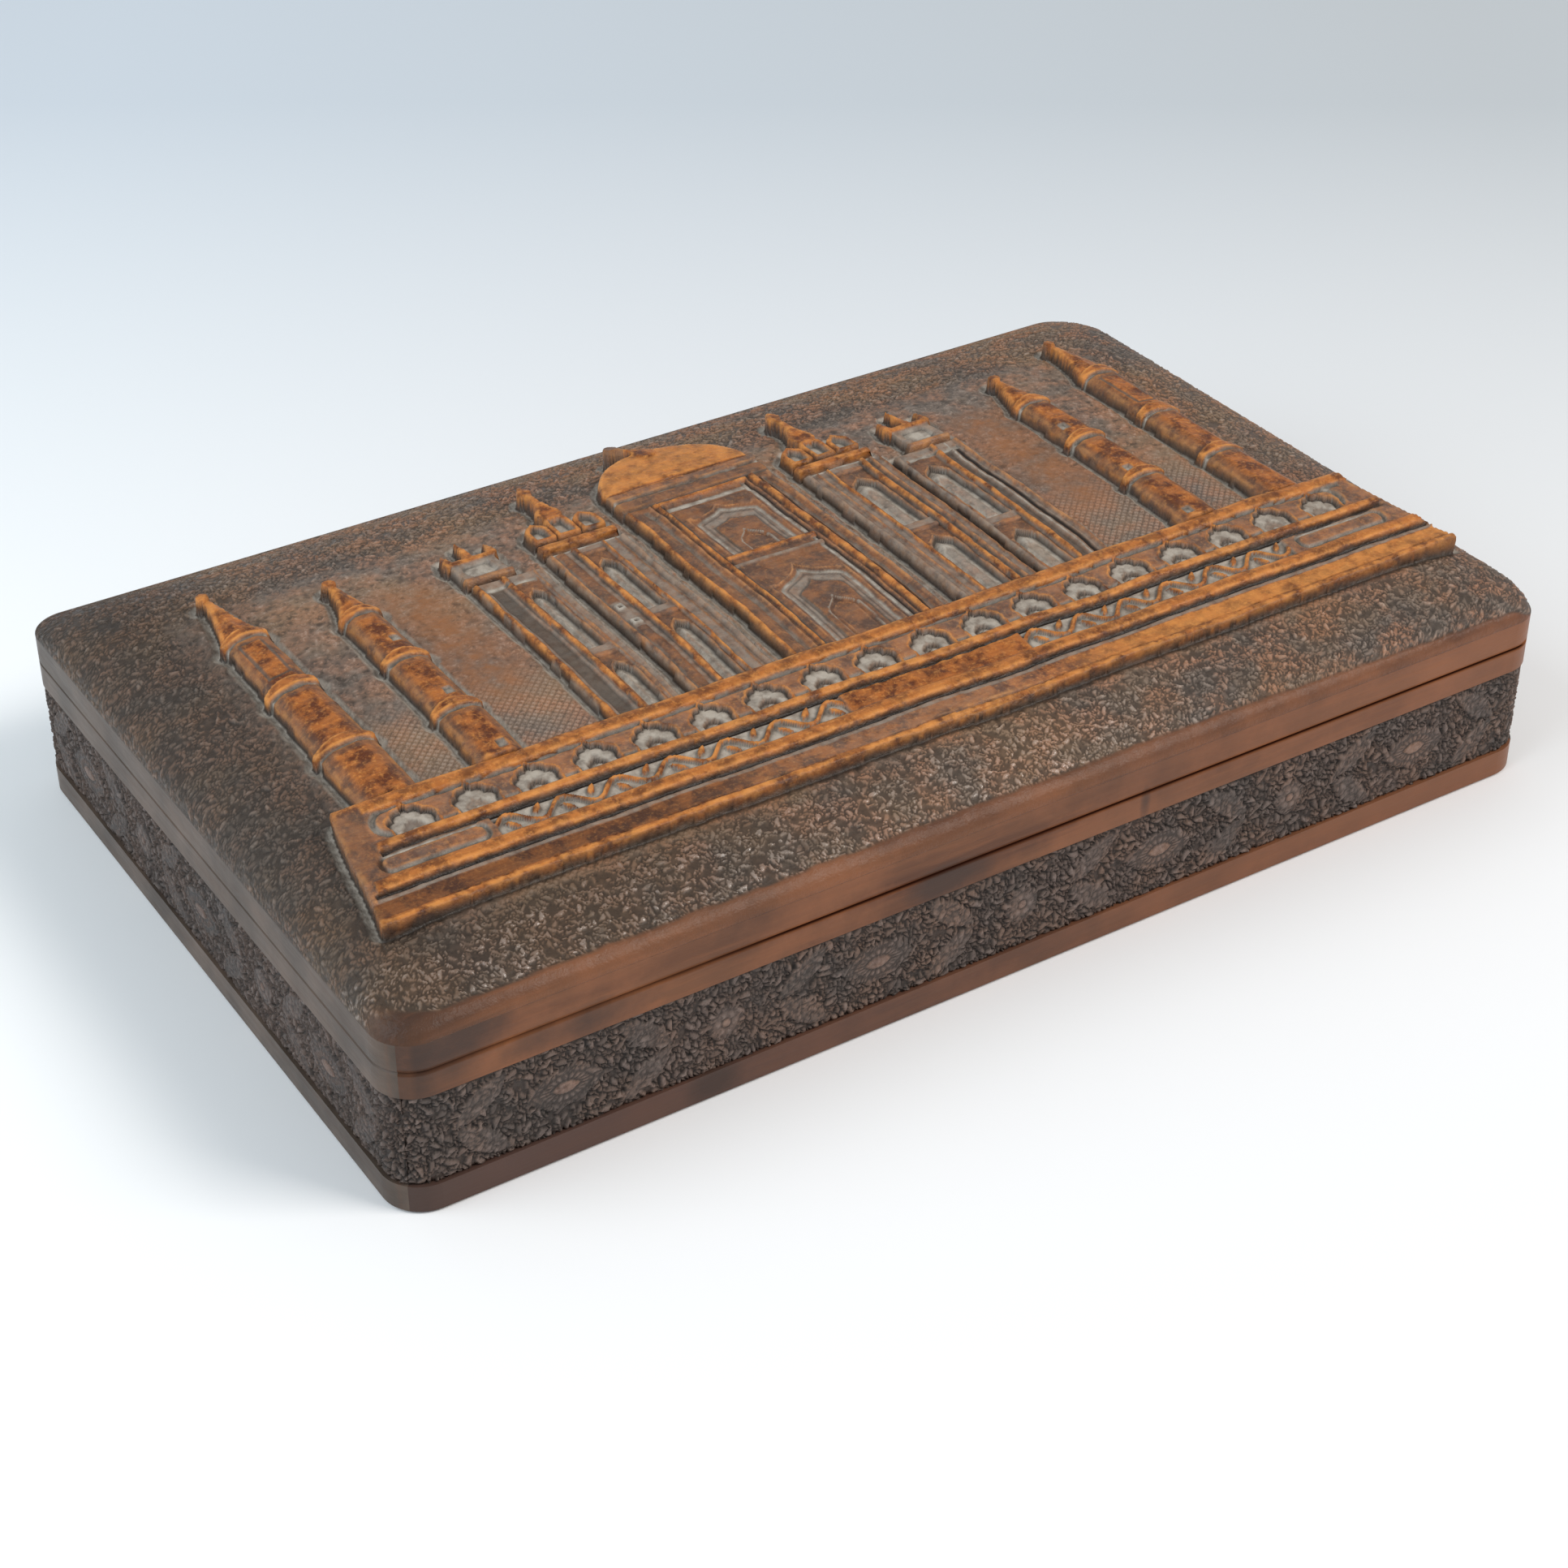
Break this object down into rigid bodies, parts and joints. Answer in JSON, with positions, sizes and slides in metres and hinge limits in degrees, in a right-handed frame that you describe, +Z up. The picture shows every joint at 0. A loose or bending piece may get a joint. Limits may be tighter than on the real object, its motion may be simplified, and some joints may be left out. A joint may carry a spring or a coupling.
{
  "type": "carved wooden box",
  "caption": "Low wooden box with a hinged, crowned lid, carved in relief with a domed building and round towers on a terrace, and with foliage strips all round.",
  "frame": {"origin": "under the middle of the box, on the surface it stands on", "axes": "+X along the box to the right seen from the front, -Y towards the front, +Z up"},
  "size_m": [0.3, 0.187, 0.0603],
  "materials": {
    "lid_carved_wood": "waxed, dark in the cuts, worn golden brown on the high carving",
    "base_carved_wood": "waxed, nearly black in the cuts, red brown on the plain bands",
    "rail_wood": "waxed red brown",
    "bottom_wood": "bare, planed",
    "felt": "dark red felt",
    "hinge_brass": "aged brass",
    "screw_brass": "aged brass",
    "steel": "dull steel"
  },
  "bodies": {
    "base": {"base_front_wall": "base_carved_wood", "base_back_wall": "base_carved_wood", "base_left_wall": "base_carved_wood", "base_right_wall": "base_carved_wood", "bottom_board": "bottom_wood", "bottom_brads": "steel", "floor_felt": "felt", "hinge_screws_base": "screw_brass", "left_hinge_base_leaf": "hinge_brass", "left_hinge_pin": "hinge_brass", "right_hinge_base_leaf": "hinge_brass", "right_hinge_pin": "hinge_brass"},
    "lid": {"lid_board": "lid_carved_wood", "lid_front_rail": "rail_wood", "lid_back_rail": "rail_wood", "lid_left_rail": "rail_wood", "lid_right_rail": "rail_wood", "hinge_screws_lid": "screw_brass", "left_hinge_lid_leaf": "hinge_brass", "right_hinge_lid_leaf": "hinge_brass"}
  },
  "joints": [
    {"name": "lid_hinge", "type": "hinge", "parent": "base", "child": "lid", "pos_m": [0, 0.091, 0.0358], "axis": [-1, 0, 0], "range_deg": [0, 98]}
  ]
}
